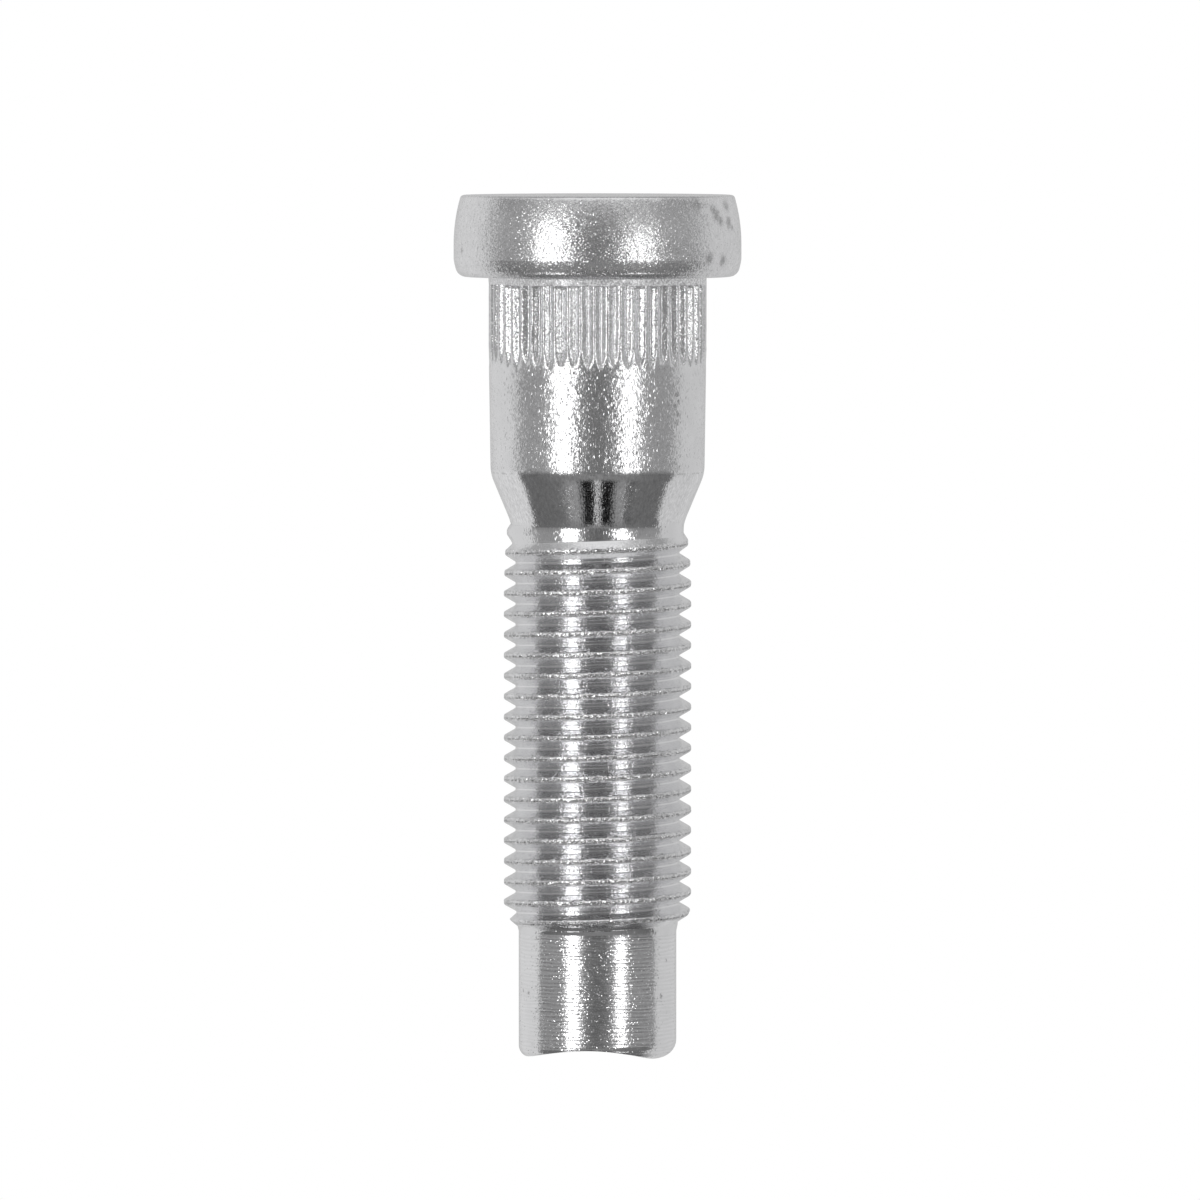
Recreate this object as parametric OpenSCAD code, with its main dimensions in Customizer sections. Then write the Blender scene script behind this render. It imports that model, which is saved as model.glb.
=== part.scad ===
// Wheel stud: one cold-formed steel piece that is pressed into a hub from behind.
// It stands on its head. The origin is the centre of the head's face, and +Z runs
// along the axis to the tip. Lengths are in millimetres and angles in degrees.

/* [Head] */
// Diameter of the head where it is widest
head_diameter = 20.95; // [18:0.05:26]
// Height of the head, from its face to its underside
head_height = 5.95; // [5.2:0.05:9]
// Radius of the barrel-shaped side, seen from the side
head_side_radius = 12.4; // [10:0.1:40]
// Height above the face at which the side stops widening
head_side_height = 3.6; // [2.5:0.05:3.8]
// Height of the straight band where the head is widest
head_band_height = 0.7; // [0.2:0.05:0.8]
// Radius of the shoulder between the straight band and the underside
head_shoulder_radius = 3.6; // [3:0.1:8]
// Rounding of the edge between the shoulder and the underside
head_under_rounding = 0.5; // [0.2:0.05:0.8]
// Rounding of the edge of the face
head_face_rounding = 0.3; // [0.1:0.05:0.8]

/* [Shank] */
// Diameter of the plain shank
shank_diameter = 15.7; // [14.6:0.05:16.2]
// Length from the head's underside to the taper
shank_length = 14.27; // [10:0.01:24]
// Diameter of the plain collar between the head and the knurl
collar_diameter = 15.88; // [15.75:0.01:16.6]
// Length of that collar
collar_length = 0.65; // [0.5:0.05:2]
// Fillet between the collar and the head's underside
collar_fillet = 0.3; // [0.1:0.05:0.45]

/* [Knurl] */
// Number of teeth round the shank
knurl_teeth = 51; // [24:1:72]
// Diameter over the teeth
knurl_diameter = 15.91; // [15.8:0.01:16.8]
// Depth of the grooves below the teeth
knurl_depth = 0.34; // [0.2:0.01:0.6]
// Length from the collar to the end of the teeth
knurl_length = 5.85; // [3:0.05:7]
// Length over which each groove rises to the shank at its end
knurl_run_out = 1.1; // [0.4:0.05:2]
// Part of a tooth's width that its flat top takes
knurl_top_share = 0.4; // [0.1:0.05:0.7]

/* [Taper and neck] */
// Angle between the taper's side and the axis
taper_angle = 22.7; // [15:0.1:40]
// Radius of the blend between the shank and the taper
taper_top_radius = 3.3; // [1:0.1:4]
// Radius of the blend between the taper and the neck
taper_foot_radius = 2.6; // [1:0.1:4]
// Diameter of the neck above the thread
neck_diameter = 12.56; // [12.3:0.01:13]
// Length of the neck, from the taper to the first full groove
neck_length = 1.35; // [1.2:0.05:4]

/* [Thread] */
// Diameter over the crests
thread_diameter = 13.66; // [13.4:0.01:14]
// Distance from one crest to the next
thread_pitch = 1.5; // [1.25:0.05:2]
// Depth from crest to root
thread_depth = 0.86; // [0.75:0.01:0.92]
// Length from the end of the neck to the end of the last ridge
thread_length = 28.3; // [12:0.1:60]
// Length by which the first ridge starts before the end of the neck
ridge_lead = 1.3; // [1:0.05:1.4]
// Length over which that ridge rises out of the neck
ridge_rise = 0.4; // [0.2:0.05:0.8]
// Height that the first ridge still lacks
ridge_lack = 0.2; // [0.05:0.01:0.3]
// Length from the neck to the first ridge of full height
ridge_growth = 3; // [1:0.1:5]
// Length over which the first groove sinks to its full depth
groove_fall = 0.5; // [0.3:0.05:1]
// Length over which the last ridge falls away before the tip
ridge_fall = 1.6; // [0.8:0.1:4]
// Turn of the thread about the axis, which sets where it starts
thread_start_angle = 342; // [6:12:354]

/* [Tip] */
// Diameter of the plain tip
tip_diameter = 11.5; // [9:0.05:11.7]
// Length of the plain tip
tip_length = 9.25; // [4:0.05:20]
// Rounding of the edge of the end
tip_rounding = 1.3; // [0.4:0.05:2]
// Radius of the hollow that the end of the wire keeps across its face
hollow_radius = 13.4; // [8:0.1:60]
// Depth of that hollow
hollow_depth = 0.85; // [0.2:0.05:1.2]
// Distance of the hollow's deepest line from the axis
hollow_offset = 0.7; // [-1.5:0.05:1.5]

/* [Hidden] */
$fn = 96;

head_radius = head_diameter / 2;
collar_radius = collar_diameter / 2;
knurl_radius = knurl_diameter / 2;
shank_radius = shank_diameter / 2;
neck_radius = neck_diameter / 2;
crest_radius = thread_diameter / 2;
root_radius = crest_radius - thread_depth;
tip_radius = tip_diameter / 2;

// Heights above the head's face
band_end = head_side_height + head_band_height;
knurl_start = head_height + collar_length;
knurl_end = knurl_start + knurl_length;
taper_start = head_height + shank_length;
neck_start = taper_start + (shank_radius - neck_radius) / tan(taper_angle);
neck_end = neck_start + neck_length;
thread_end = neck_end + thread_length;
tip_end = thread_end + tip_length;

// Overlap by which one solid reaches into the next
lap = 1;
// Depth at which a buried surface lies below the one that covers it
cover = 0.12;

// The knurl's core lies a little under the grooves
groove_radius = knurl_radius - knurl_depth;
knurl_core = groove_radius - cover / 2;
knurl_tooth_angle = 360 / knurl_teeth;

// Ridge of the thread: place along the pitch and height above the root, both as shares
THREAD_FORM = [[-0.12, 0.94], [0, 1], [0.12, 0.94], [0.37, 0.11], [0.5, 0], [0.63, 0.11]];
thread_rows = len(THREAD_FORM);
thread_columns = 30;
// The screw surface has a turn to spare inside the neck and inside the tip
screw_start = neck_end - ridge_lead - 1.7 * thread_pitch;
screw_turns = ceil((thread_end - screw_start) / thread_pitch + 1.2);
screw_steps = screw_turns * thread_columns;
screw_end = screw_start + screw_turns * thread_pitch;

// Radius of the crests along the axis
CREST_LINE = [
    [neck_end - ridge_lead, neck_radius - cover],
    [neck_end - ridge_lead + ridge_rise, crest_radius - ridge_lack],
    [neck_end + ridge_growth, crest_radius],
    [thread_end - ridge_fall, crest_radius],
    [thread_end - 0.4 * ridge_fall, crest_radius - 0.4 * thread_depth],
    [thread_end + cover, tip_radius - cover],
];
// Radius of the roots along the axis
ROOT_LINE = [
    [neck_end, neck_radius - cover],
    [neck_end + groove_fall, root_radius],
    [thread_end - 0.5 * ridge_fall, root_radius],
    [thread_end + cover, tip_radius - cover],
];

// Point of the screw surface: a step along the helix and a row across the ridge
function screw_point(step, row) =
    let(
        place = THREAD_FORM[row],
        turn = 360 * step / thread_columns,
        height = screw_start + thread_pitch * (step / thread_columns + place[0]),
        root = lookup(height, ROOT_LINE),
        radius = root + (max(lookup(height, CREST_LINE), root) - root) * place[1]
    )
    [radius * cos(turn), radius * sin(turn), height];

function screw_index(step, row) = step * thread_rows + row;

// Wedge that lies outside a round corner: the blend's centre, its radius, and the two
// directions in which it touches the straight sides
module corner_wedge(centre, radius, from, to) {
    reach = radius * 1.25;
    middle = (from + to) / 2;
    spread = (to - from) / 2;
    translate(centre)
        difference() {
            polygon([
                [0, 0],
                [reach * cos(from), reach * sin(from)],
                [reach / cos(spread) * cos(middle), reach / cos(spread) * sin(middle)],
                [reach * cos(to), reach * sin(to)],
            ]);
            circle(r = radius);
        }
}

module head_profile() {
    side_centre = [head_radius - head_side_radius, head_side_height];
    shoulder_centre = [head_radius - head_shoulder_radius, band_end];
    face_angle = asin((head_face_rounding - head_side_height) / (head_side_radius - head_face_rounding));
    face_corner = side_centre + (head_side_radius - head_face_rounding) * [cos(face_angle), sin(face_angle)];
    under_angle = asin(
        (head_height - head_under_rounding - band_end) / (head_shoulder_radius - head_under_rounding)
    );
    under_corner = shoulder_centre
        + (head_shoulder_radius - head_under_rounding) * [cos(under_angle), sin(under_angle)];
    difference() {
        square([head_radius, head_height]);
        // Barrel-shaped side
        difference() {
            translate([head_radius / 2, -lap])
                square([head_radius, head_side_height + lap]);
            translate(side_centre)
                circle(r = head_side_radius);
        }
        // Shoulder towards the underside
        difference() {
            translate([head_radius / 2, band_end])
                square([head_radius, head_height]);
            translate(shoulder_centre)
                circle(r = head_shoulder_radius);
        }
        corner_wedge(face_corner, head_face_rounding, -90, face_angle);
        corner_wedge(under_corner, head_under_rounding, under_angle, 90);
    }
}

module shank_profile() {
    top_blend = taper_top_radius * tan(taper_angle / 2);
    foot_blend = taper_foot_radius * tan(taper_angle / 2);
    difference() {
        union() {
            polygon([
                [0, head_height - lap],
                [collar_radius, head_height - lap],
                [collar_radius, knurl_start],
                [knurl_core, knurl_start + collar_radius - knurl_core],
                [knurl_core, knurl_end - knurl_run_out],
                [shank_radius, knurl_end],
                [shank_radius, taper_start],
                [neck_radius, neck_start],
                [neck_radius, neck_end],
                [root_radius - cover, neck_end + 1.2 * (neck_radius - root_radius + cover)],
                [root_radius - cover, neck_end + lap],
                [0, neck_end + lap],
            ]);
            corner_wedge(
                [collar_radius + collar_fillet, head_height + collar_fillet], collar_fillet, 180, 270
            );
            corner_wedge(
                [neck_radius + taper_foot_radius, neck_start + foot_blend],
                taper_foot_radius, 180, 180 + taper_angle
            );
        }
        corner_wedge(
            [shank_radius - taper_top_radius, taper_start - top_blend], taper_top_radius, 0, taper_angle
        );
    }
}

// Teeth of the knurl, which rise out of the collar and fall away to the shank
module knurl() {
    tops = [0.5 - knurl_top_share / 2, 0.5 + knurl_top_share / 2];
    intersection() {
        translate([0, 0, knurl_start - collar_length / 2])
            linear_extrude(knurl_length + collar_length / 2)
                polygon([
                    for (tooth = [0 : knurl_teeth - 1])
                        for (corner = [[0, groove_radius], [tops[0], knurl_radius], [tops[1], knurl_radius]])
                            corner[1] * [
                                cos((tooth + corner[0]) * knurl_tooth_angle),
                                sin((tooth + corner[0]) * knurl_tooth_angle),
                            ]
                ]);
        rotate_extrude()
            polygon([
                [0, knurl_start - collar_length],
                [collar_radius - cover, knurl_start - collar_length],
                [collar_radius - cover / 4, knurl_start],
                [knurl_radius + cover, knurl_start + 3 * cover],
                [knurl_radius + cover, knurl_end - knurl_run_out / 2],
                [shank_radius - cover, knurl_end],
                [0, knurl_end],
            ]);
    }
}

// Right-hand thread: one strip of rows wound along the helix, closed by a fan at each end
module thread() {
    last_row = thread_rows - 1;
    bottom_centre = screw_index(screw_steps, last_row) + 1;
    top_centre = bottom_centre + 1;
    bottom_rim = [
        for (row = [last_row : -1 : 0]) screw_index(0, row),
        for (step = [1 : thread_columns]) screw_index(step, 0),
    ];
    top_rim = [
        for (step = [screw_steps - thread_columns : screw_steps]) screw_index(step, last_row),
        for (row = [last_row - 1 : -1 : 0]) screw_index(screw_steps, row),
    ];
    rotate([0, 0, thread_start_angle])
        polyhedron(
            points = [
                for (step = [0 : screw_steps])
                    for (row = [0 : last_row])
                        screw_point(step, row),
                [0, 0, screw_start + thread_pitch / 2],
                [0, 0, screw_end + thread_pitch / 2],
            ],
            faces = [
                for (step = [0 : screw_steps - 1])
                    for (row = [0 : last_row - 1])
                        for (side = strip_faces(step, row, step, row + 1))
                            side,
                for (step = [0 : screw_steps - thread_columns - 1])
                    for (side = strip_faces(step, last_row, step + thread_columns, 0))
                        side,
                for (k = [0 : len(bottom_rim) - 1])
                    [bottom_centre, bottom_rim[k], bottom_rim[(k + 1) % len(bottom_rim)]],
                for (k = [0 : len(top_rim) - 1])
                    [top_centre, top_rim[(k + 1) % len(top_rim)], top_rim[k]],
            ]
        );
}

// Two triangles between a row and the row above it, from one step to the next
function strip_faces(low_step, low_row, high_step, high_row) = [
    [
        screw_index(low_step, low_row),
        screw_index(high_step, high_row),
        screw_index(high_step + 1, high_row),
    ],
    [
        screw_index(low_step, low_row),
        screw_index(high_step + 1, high_row),
        screw_index(low_step + 1, low_row),
    ],
];

// Plain tip with a round edge and the shallow hollow across its end
module tip() {
    difference() {
        rotate_extrude()
            difference() {
                translate([0, thread_end - 2 * lap])
                    square([tip_radius, tip_length + 2 * lap]);
                corner_wedge([tip_radius - tip_rounding, tip_end - tip_rounding], tip_rounding, 0, 90);
            }
        translate([hollow_offset, 0, tip_end - hollow_depth + hollow_radius])
            rotate([90, 0, 0])
                cylinder(r = hollow_radius, h = 2 * tip_diameter, center = true);
    }
}

module wheel_stud() {
    color("silver") {
        rotate_extrude() {
            head_profile();
            shank_profile();
        }
        knurl();
        thread();
        tip();
    }
}

wheel_stud();
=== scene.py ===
import math
import random

import bmesh
import bpy
from bpy.props import FloatProperty, FloatVectorProperty, IntProperty, PointerProperty
from bpy.types import Operator, Panel, PropertyGroup
from mathutils import Matrix, Vector, noise


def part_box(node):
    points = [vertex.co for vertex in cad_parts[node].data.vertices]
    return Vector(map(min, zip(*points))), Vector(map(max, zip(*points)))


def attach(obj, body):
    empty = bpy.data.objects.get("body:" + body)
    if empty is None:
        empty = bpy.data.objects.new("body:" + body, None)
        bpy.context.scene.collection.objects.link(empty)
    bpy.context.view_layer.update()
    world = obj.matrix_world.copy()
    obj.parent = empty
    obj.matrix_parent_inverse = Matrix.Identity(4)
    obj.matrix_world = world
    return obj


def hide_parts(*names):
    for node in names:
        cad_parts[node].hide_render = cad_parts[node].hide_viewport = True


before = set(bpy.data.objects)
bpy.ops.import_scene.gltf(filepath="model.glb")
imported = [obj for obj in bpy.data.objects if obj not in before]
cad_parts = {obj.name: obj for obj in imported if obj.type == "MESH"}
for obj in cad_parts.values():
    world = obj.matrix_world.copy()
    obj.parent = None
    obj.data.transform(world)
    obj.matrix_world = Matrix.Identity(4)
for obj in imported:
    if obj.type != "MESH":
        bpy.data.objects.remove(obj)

bl_info = {
    "name": "Wheel stud",
    "version": (1, 0, 0),
    "blender": (4, 5, 0),
    "location": "View3D > Sidebar > Wheel stud",
    "description": "Makes a zinc plated wheel stud around its packed frame, and the stage it is seen on",
    "category": "Object",
}

NODE = "wheel_stud"
STUD_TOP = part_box(NODE)[1].z
TURN = 2 * math.pi
# Points nearer to each other than this are one
MERGE = 1e-7
# Edges that turn by more than this stay sharp
SHARP = math.radians(50)
# Height between the neck and the thread's grid, and how far that grid goes on after the last ridge
NECK_GAP = 0.00004
TIP_GAP = 0.0001
# Plain length beyond the knurl, on either side of the joint with the shank
KNURL_MARGIN = 0.0002
KNURL_SEED = 51
# Heights where one finish ends and the next one starts, in metres
HEAD_END = 0.0060
COLLAR_END = 0.0065
KNURL_END = 0.0123
SHANK_END = 0.0200
TAPER_END = 0.0238
FIRST_CREST = 0.0252
LAST_CREST = 0.0530
THREAD_END = 0.0537
# Depth of the fine lines, height of the beads on the crests and depth of the seam between them
LINE_DEPTH = 0.000004
BEAD_HEIGHT = 0.000032
SEAM_CUT = 0.000024
ROOM_STRENGTH = 0.857


def length(name, description, default):
    """A size in metres that the user can change."""
    return FloatProperty(name=name, description=description, default=default, unit="LENGTH", precision=5)


def angle(name, description, degrees):
    """An angle that the user can change."""
    return FloatProperty(name=name, description=description, default=math.radians(degrees), subtype="ANGLE")


def share(name, description, default):
    """A number between nought and one that the user can change."""
    return FloatProperty(name=name, description=description, default=default, subtype="FACTOR", min=0, max=1)


def colour(name, description, default):
    """A colour that the user can change."""
    return FloatVectorProperty(name=name, description=description, default=default, subtype="COLOR")


class HeadSizes(PropertyGroup):
    """Sizes of the head."""

    diameter: length("Diameter", "Where the head is widest", 0.02095)
    height: length("Height", "From the face to the underside", 0.00595)
    side_radius: length("Side radius", "Radius of the barrel-shaped side, seen from the side", 0.0124)
    side_height: length("Side height", "Where the side stops widening", 0.0036)
    band_end: length("Band end", "Height of the faint line where the shoulder starts", 0.00462)
    line_radius: length("Line radius", "Rounding of that faint line", 0.0003)
    line_tilt: angle("Line tilt", "How far the side turns at that line", 7.2)
    shoulder_radius: length("Shoulder radius", "Radius of the shoulder", 0.0046)
    shoulder_tilt: angle("Shoulder tilt", "Tilt of the shoulder where it ends", 16.5)
    face_rounding: length("Face rounding", "Rounding of the edge of the face", 0.0003)
    columns: IntProperty(name="Columns", description="Faces round the head", default=204)


class ShankSizes(PropertyGroup):
    """Sizes of the collar, the plain shank, the taper and the neck."""

    collar_diameter: length("Collar diameter", "Between the head and the knurl", 0.01588)
    collar_length: length("Collar length", "From the head's underside to the knurl", 0.00036)
    collar_fillet: length("Collar fillet", "Between the collar and the underside", 0.00012)
    top_diameter: length("Top diameter", "Of the shank below the knurl", 0.0158)
    foot_diameter: length("Foot diameter", "Of the shank where it starts to narrow", 0.01560)
    foot_height: length("Foot height", "Height where the shank starts to narrow", 0.0197)
    taper_angle: angle("Taper angle", "Between the taper's side and the axis", 22.7)
    taper_radius: length("Taper radius", "Blend between the shank and the taper", 0.0031)
    foot_radius: length("Foot radius", "Of the two blends between the taper and the neck", 0.0045)
    crease_tilt: angle("Crease tilt", "Tilt just above the crease at the neck", 14.0)
    crease_turn: angle("Crease turn", "Tilt just below that crease", 6.0)
    crease_radius: length("Crease radius", "Rounding of that crease", 0.00035)
    neck_diameter: length("Neck diameter", "Of the neck above the thread", 0.01256)
    columns: IntProperty(name="Columns", description="Faces round the shank", default=204)


class KnurlSizes(PropertyGroup):
    """Sizes of the knurl."""

    teeth: IntProperty(name="Teeth", description="Number of teeth round the shank", default=51)
    diameter: length("Diameter", "Over the teeth", 0.01591)
    depth: length("Depth", "Of the grooves below the teeth", 0.00036)
    length_along: length("Length", "From the collar to the end of the teeth", 0.00614)
    run_out: length("Run-out", "Length over which a groove rises at its end", 0.0016)
    run_in: length("Run-in", "Length over which a groove sinks at its start", 0.00022)
    groove_share: share("Groove share", "Half a groove's width, as a part of a tooth's", 0.4)
    columns: IntProperty(name="Columns", description="Faces across each tooth", default=14)


class ThreadSizes(PropertyGroup):
    """Sizes of the rolled thread."""

    diameter: length("Diameter", "Over the crests", 0.01366)
    pitch: length("Pitch", "From one crest to the next", 0.0015)
    depth: length("Depth", "From crest to root", 0.00086)
    flank: angle("Flank", "Tilt of the flanks against the axis", 60)
    crest_radius: length("Crest radius", "Rounding of the crest", 0.00018)
    crest_flat: length("Crest flat", "Half the width of the flat on the crest", 0.00008)
    seam_depth: length("Seam depth", "Depth of the seam that rolling leaves along the crest", 0.000008)
    start: length("Start", "Height where the grid of the thread starts", 0.02398)
    neck_end: length("Neck end", "Height where the first groove starts", 0.02532)
    end: length("End", "Height where the last ridge has gone", 0.05358)
    start_angle: angle("Start angle", "Turn of the thread about the axis", 342)
    columns: IntProperty(name="Columns", description="Faces round the thread", default=108)


class TipSizes(PropertyGroup):
    """Sizes of the plain tip and of the hollow across its end."""

    diameter: length("Diameter", "Of the plain tip", 0.0115)
    rounding_wide: length("Wide rounding", "Rounding of the end's edge on the side of -X", 0.0013)
    rounding_tight: length("Tight rounding", "Rounding of the end's edge on the side of +X", 0.00085)
    hollow_radius: length("Hollow radius", "Radius of the hollow across the end", 0.0134)
    hollow_depth: length("Hollow depth", "Depth of that hollow", 0.00085)
    hollow_offset: length("Hollow offset", "Distance of its deepest line from the axis", 0.0007)
    lip: length("Lip", "Softness of the edge between the hollow and the rounding", 0.00016)


class FinishValues(PropertyGroup):
    """Colour and surface of the zinc plate."""

    zinc: colour("Zinc", "Colour of the zinc plate", (0.84, 0.84, 0.85))
    stain: colour("Stain", "Colour of the small dark stains", (0.26, 0.26, 0.26))
    roughness: share("Roughness", "Of the plain plate", 0.15)
    grain: length("Grain", "Size of the grain of the plate", 0.00016)
    grain_depth: length("Grain depth", "Depth of that grain", 0.000016)
    crystal: length("Crystal", "Size of the crystals, which lean in all directions", 0.00007)
    ring_spacing: length("Ring spacing", "Between the turning rings on the tip", 0.00028)
    ring_depth: length("Ring depth", "Half the depth of those rings", 0.0000037)


class StageValues(PropertyGroup):
    """Camera, lamps and surroundings."""

    distance: length("Distance", "Of the camera from the stud's axis", 0.8955)
    camera_height: length("Camera height", "Height of the camera above the face", -0.0109)
    aim_height: length("Aim height", "Height of the point the camera looks at", 0.02951)
    aim_side: length("Aim side", "Distance of that point from the axis", -0.00018)
    lens: FloatProperty(name="Lens", description="Focal length in millimetres", default=369.0)
    backdrop: colour("Backdrop", "Colour of the pale backdrop", (0.83, 0.83, 0.83))
    floor: colour("Floor", "Colour of the floor", (0.85, 0.85, 0.85))
    lamp_power: FloatProperty(name="Lamp power", description="Brightness of the strip lamps", default=3.2)


class StudSettings(PropertyGroup):
    """Everything that the user can change."""

    head: PointerProperty(type=HeadSizes)
    shank: PointerProperty(type=ShankSizes)
    knurl: PointerProperty(type=KnurlSizes)
    thread: PointerProperty(type=ThreadSizes)
    tip: PointerProperty(type=TipSizes)
    finish: PointerProperty(type=FinishValues)
    stage: PointerProperty(type=StageValues)


class Outline:
    """Half of a turned section: points that straight runs and round bends add to, from the face upwards.

    The tilt is the angle by which the surface faces the tip: -90 degrees on the face, 0 on a plain side.
    """

    def __init__(self, radius, height, tilt):
        self.points = [(radius, height)]
        self.tilt = tilt

    def run(self, distance, steps=1):
        """Goes straight on."""
        radius, height = self.points[-1]
        for step in range(1, steps + 1):
            way = distance * step / steps
            self.points.append((radius - way * math.sin(self.tilt), height + way * math.cos(self.tilt)))

    def run_to_height(self, height, steps=1):
        """Goes straight on up to a height."""
        self.run((height - self.points[-1][1]) / math.cos(self.tilt), steps)

    def run_to_radius(self, radius, steps=1):
        """Goes straight on up to a radius."""
        self.run((self.points[-1][0] - radius) / math.sin(self.tilt), steps)

    def bend(self, bend_radius, tilt, steps):
        """Turns to another tilt on an arc: outwards round a corner, or inwards in a fillet."""
        side = 1 if tilt > self.tilt else -1
        radius, height = self.points[-1]
        centre = (
            radius - side * bend_radius * math.cos(self.tilt),
            height - side * bend_radius * math.sin(self.tilt),
        )
        first = self.tilt
        for step in range(1, steps + 1):
            now = first + (tilt - first) * step / steps
            self.points.append((
                centre[0] + side * bend_radius * math.cos(now),
                centre[1] + side * bend_radius * math.sin(now),
            ))
        self.tilt = tilt

    def radius_at(self, height):
        """Radius of the outline at a height."""
        return reading(height, [(point[1], point[0]) for point in self.points])


def reading(value, table):
    """Reads a table of pairs, with straight lines between them."""
    if value <= table[0][0]:
        return table[0][1]
    for (low, first), (high, second) in zip(table, table[1:]):
        if value <= high:
            return first if high <= low else first + (second - first) * (value - low) / (high - low)
    return table[-1][1]


def smooth(value, low, high):
    """Goes softly from 0 to 1 between two values."""
    part = min(max((value - low) / (high - low), 0), 1)
    return part * part * (3 - 2 * part)


def merge(part, distance=MERGE):
    """Merges the points of a mesh that lie on each other."""
    bmesh.ops.remove_doubles(part, verts=list(part.verts), dist=distance)


def spun(points, columns, start_angle=0.0):
    """Spins a line of points once round the axis, in a mesh of its own."""
    part = bmesh.new()
    line = [part.verts.new((r * math.cos(start_angle), r * math.sin(start_angle), z)) for r, z in points]
    edges = [part.edges.new(pair) for pair in zip(line, line[1:])]
    bmesh.ops.spin(
        part, geom=line + edges, cent=(0, 0, 0), axis=(0, 0, 1), dvec=(0, 0, 0),
        angle=TURN, steps=columns, use_merge=True,
    )
    merge(part)
    return part


def add_part(bm, part):
    """Moves a finished part into the stud's mesh."""
    carrier = bpy.data.meshes.new("carrier")
    part.to_mesh(carrier)
    part.free()
    bm.from_mesh(carrier)
    bpy.data.meshes.remove(carrier)


def ring_at(bm, radius, height, spread=2e-5):
    """Open edges of the ring that lies at a radius and a height."""
    ring = []
    for edge in bm.edges:
        if edge.is_boundary and all(
            abs(v.co.z - height) < spread and abs(math.hypot(v.co.x, v.co.y) - radius) < spread
            for v in edge.verts
        ):
            ring.append(edge)
    return ring


def head_outline(head, shank):
    """Outline of the head, from the centre of its face to the flat of its underside."""
    radius = head.diameter / 2
    rounding = head.face_rounding
    face_tilt = math.asin((rounding - head.side_height) / (head.side_radius - rounding))
    flat = radius - head.side_radius + (head.side_radius - rounding) * math.cos(face_tilt)
    outline = Outline(0, 0, -math.pi / 2)
    for part in (0.5, 0.9, 1):
        outline.run_to_radius(flat * part)
    outline.bend(rounding, face_tilt, 7)
    outline.bend(head.side_radius, 0, 12)
    outline.run_to_height(head.band_end, 3)
    outline.bend(head.line_radius, head.line_tilt, 3)
    outline.bend(head.shoulder_radius, head.shoulder_tilt, 6)
    edge = (head.height - outline.points[-1][1]) / (1 - math.sin(head.shoulder_tilt))
    outline.bend(edge, math.pi / 2, 8)
    outline.run_to_radius(shank.collar_diameter / 2 + shank.collar_fillet * 6)
    return outline


def collar_outline(head, shank, knurl):
    """Outline of the fillet, the collar and the knurl, before the teeth are cut."""
    outline = Outline(shank.collar_diameter / 2 + shank.collar_fillet * 3, head.height, math.pi / 2)
    outline.run_to_radius(shank.collar_diameter / 2 + shank.collar_fillet)
    outline.bend(shank.collar_fillet, 0, 5)
    knurl_start = head.height + shank.collar_length
    knurl_end = knurl_start + knurl.length_along
    # The rows lie closer together where the grooves start and where they end
    outline.run_to_height(knurl_start - 0.00008, 2)
    outline.run_to_height(knurl_start + 0.0006, 8)
    outline.run_to_height(knurl_end - knurl.run_out - KNURL_MARGIN, 8)
    outline.run_to_height(knurl_end + KNURL_MARGIN, 13)
    return outline


def shank_outline(head, shank, knurl, thread):
    """Outline of the plain shank, the taper and the neck."""
    start = head.height + shank.collar_length + knurl.length_along + 2 * KNURL_MARGIN
    draft = math.atan((shank.top_diameter - shank.foot_diameter) / 2 / (shank.foot_height - start))
    outline = Outline(shank.top_diameter / 2, start, draft)
    outline.run_to_height(shank.foot_height, 6)
    outline.bend(shank.taper_radius, shank.taper_angle, 10)
    # The taper runs on until its foot's bends end on the neck
    inward = 0.0
    for bend_radius, first, last in (
        (shank.foot_radius, shank.taper_angle, shank.crease_tilt),
        (shank.crease_radius, shank.crease_tilt, shank.crease_turn),
        (shank.foot_radius, shank.crease_turn, 0.0),
    ):
        inward += bend_radius * (math.cos(last) - math.cos(first))
    outline.run_to_radius(shank.neck_diameter / 2 + inward, 6)
    outline.bend(shank.foot_radius, shank.crease_tilt, 4)
    outline.bend(shank.crease_radius, shank.crease_turn, 3)
    outline.bend(shank.foot_radius, 0, 5)
    outline.run_to_height(thread.neck_end + thread.pitch, 2)
    return outline


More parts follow.
